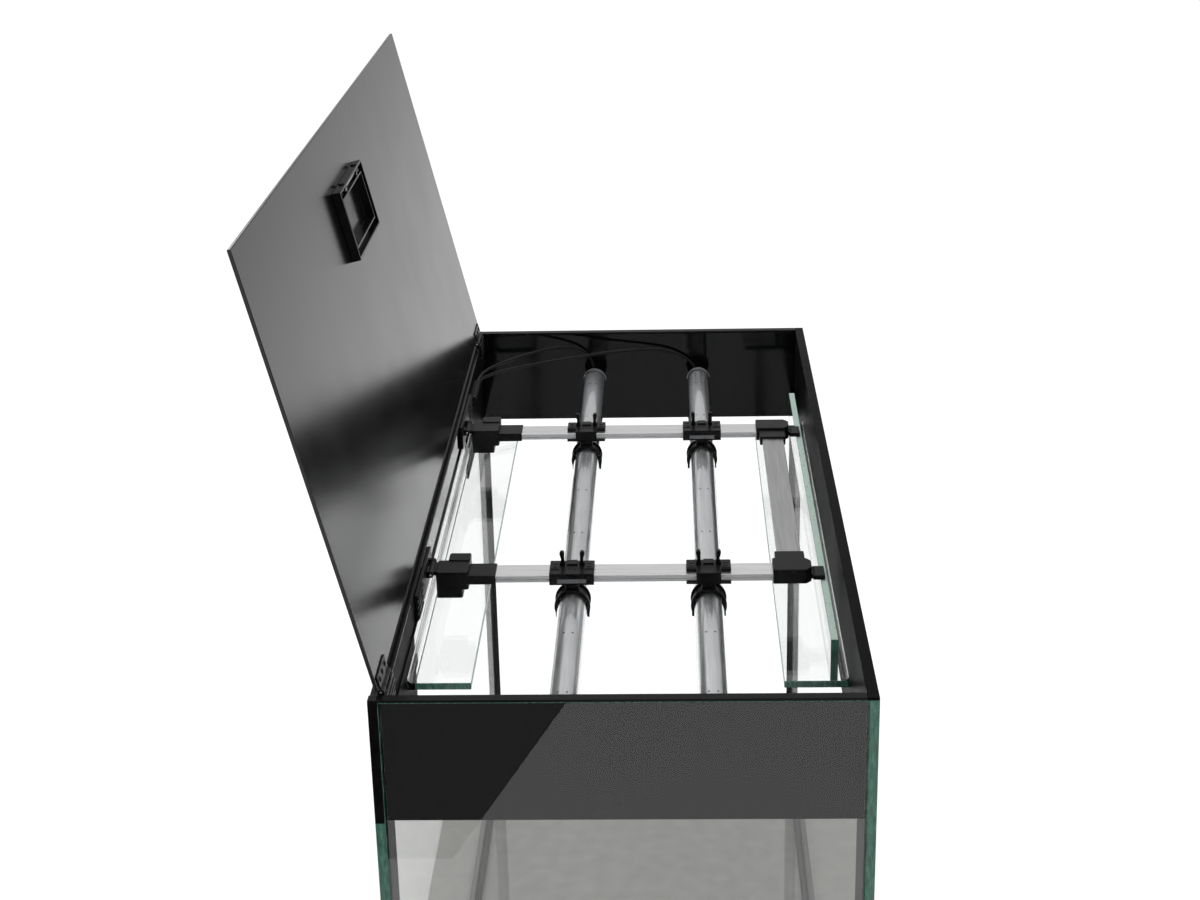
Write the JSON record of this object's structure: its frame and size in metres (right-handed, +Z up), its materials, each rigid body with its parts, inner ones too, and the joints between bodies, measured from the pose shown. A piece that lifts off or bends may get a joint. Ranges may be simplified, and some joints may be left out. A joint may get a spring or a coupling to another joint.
{
  "type": "aquarium with hinged lid and light frame",
  "caption": "Rectangular glass aquarium with a black rim and inner band, an open hinged lid with a feeding hatch, and a folding aluminium frame that carries tube lamps on clips.",
  "frame": {"origin": "middle of the underside of the mat that the tank stands on", "axes": "+X along the tank, +Y towards the hinged rear wall, +Z up"},
  "size_m": [1.2, 0.6008, 1.1939],
  "materials": {
    "pane_glass": "clear float glass, green at the cut edges",
    "brace_glass": "clear float glass with ground, pale green edges",
    "foam_mat": "matt pale grey closed-cell foam",
    "black_silicone": "smooth cured silicone",
    "clear_silicone": "smooth, milky clear",
    "black_trim": "glossy black",
    "lid_sheet": "satin black sheet",
    "black_fitting": "satin moulded black",
    "steel_pin": "turned stainless steel",
    "black_screw": "black coated steel",
    "satin_aluminium": "satin anodised",
    "lamp_sleeve": "clear tube",
    "lamp_carrier": "satin, pale grey",
    "lamp_board": "white board with light chips",
    "lamp_cap": "satin dark grey",
    "cable_rubber": "smooth black jacket"
  },
  "bodies": {
    "tank": {"base_mat": "foam_mat", "bottom_pane": "pane_glass", "front_pane": "pane_glass", "rear_pane": "pane_glass", "left_pane": "pane_glass", "right_pane": "pane_glass", "bottom_seal": "black_silicone", "corner_seals": "black_silicone", "front_brace": "brace_glass", "rear_brace": "brace_glass", "support_strip": "brace_glass", "front_brace_joint": "clear_silicone", "rear_brace_joint": "clear_silicone", "front_band": "black_trim", "left_band": "black_trim", "right_band": "black_trim", "rear_band_left": "black_trim", "rear_band_right": "black_trim", "rim_front": "black_trim", "rim_left": "black_trim", "rim_right": "black_trim", "rim_rear": "black_trim", "rear_rail": "black_trim", "lid_hinge_bases": "black_fitting", "frame_hinge_base_left": "black_fitting", "frame_hinge_base_right": "black_fitting", "cable_boot": "cable_rubber"},
    "lid": {"lid_panel": "lid_sheet", "lid_hinge_leaves": "black_fitting", "lid_hinge_pins": "steel_pin", "lid_screws": "black_screw", "hatch_housing": "black_fitting"},
    "hatch_flap": {"hatch_flap": "black_fitting", "hatch_pin": "steel_pin"},
    "light_frame": {"crossbar_left": "satin_aluminium", "crossbar_right": "satin_aluminium", "front_bar": "satin_aluminium", "front_bracket_left": "black_fitting", "front_bracket_right": "black_fitting", "rear_bracket_left": "black_fitting", "rear_bracket_right": "black_fitting", "frame_hinge_pin_left": "steel_pin", "frame_hinge_pin_right": "steel_pin", "rear_clip_left": "black_fitting", "rear_clip_right": "black_fitting", "front_clip_left": "black_fitting", "front_clip_right": "black_fitting", "rear_lamp_cable": "cable_rubber", "front_lamp_cable": "cable_rubber"},
    "rear_lamp": {"rear_lamp_tube": "lamp_sleeve", "rear_lamp_carrier": "lamp_carrier", "rear_lamp_strip": "lamp_board", "rear_lamp_cap_left": "lamp_cap", "rear_lamp_cap_right": "lamp_cap"},
    "front_lamp": {"front_lamp_tube": "lamp_sleeve", "front_lamp_carrier": "lamp_carrier", "front_lamp_strip": "lamp_board", "front_lamp_cap_left": "lamp_cap", "front_lamp_cap_right": "lamp_cap"}
  },
  "joints": [
    {"name": "lid_hinge", "type": "hinge", "parent": "tank", "child": "lid", "pos_m": [0, 0.238, 0.7403], "axis": [-1, 0, 0], "range_deg": [-103.5, 0]},
    {"name": "light_frame_hinge", "type": "hinge", "parent": "tank", "child": "light_frame", "pos_m": [0, 0.226, 0.718], "axis": [-1, 0, 0], "range_deg": [0, 75]},
    {"name": "hatch_flap_hinge", "type": "hinge", "parent": "lid", "child": "hatch_flap", "pos_m": [-0.027, 0.32451, 1.12421], "axis": [-1, 0, 0], "range_deg": [0, 30]},
    {"name": "rear_lamp_turn", "type": "hinge", "parent": "light_frame", "child": "rear_lamp", "pos_m": [0, 0.065, 0.676], "axis": [-1, 0, 0], "range_deg": [-60, 60]},
    {"name": "front_lamp_turn", "type": "hinge", "parent": "light_frame", "child": "front_lamp", "pos_m": [0, -0.091, 0.676], "axis": [-1, 0, 0], "range_deg": [-60, 60]}
  ]
}
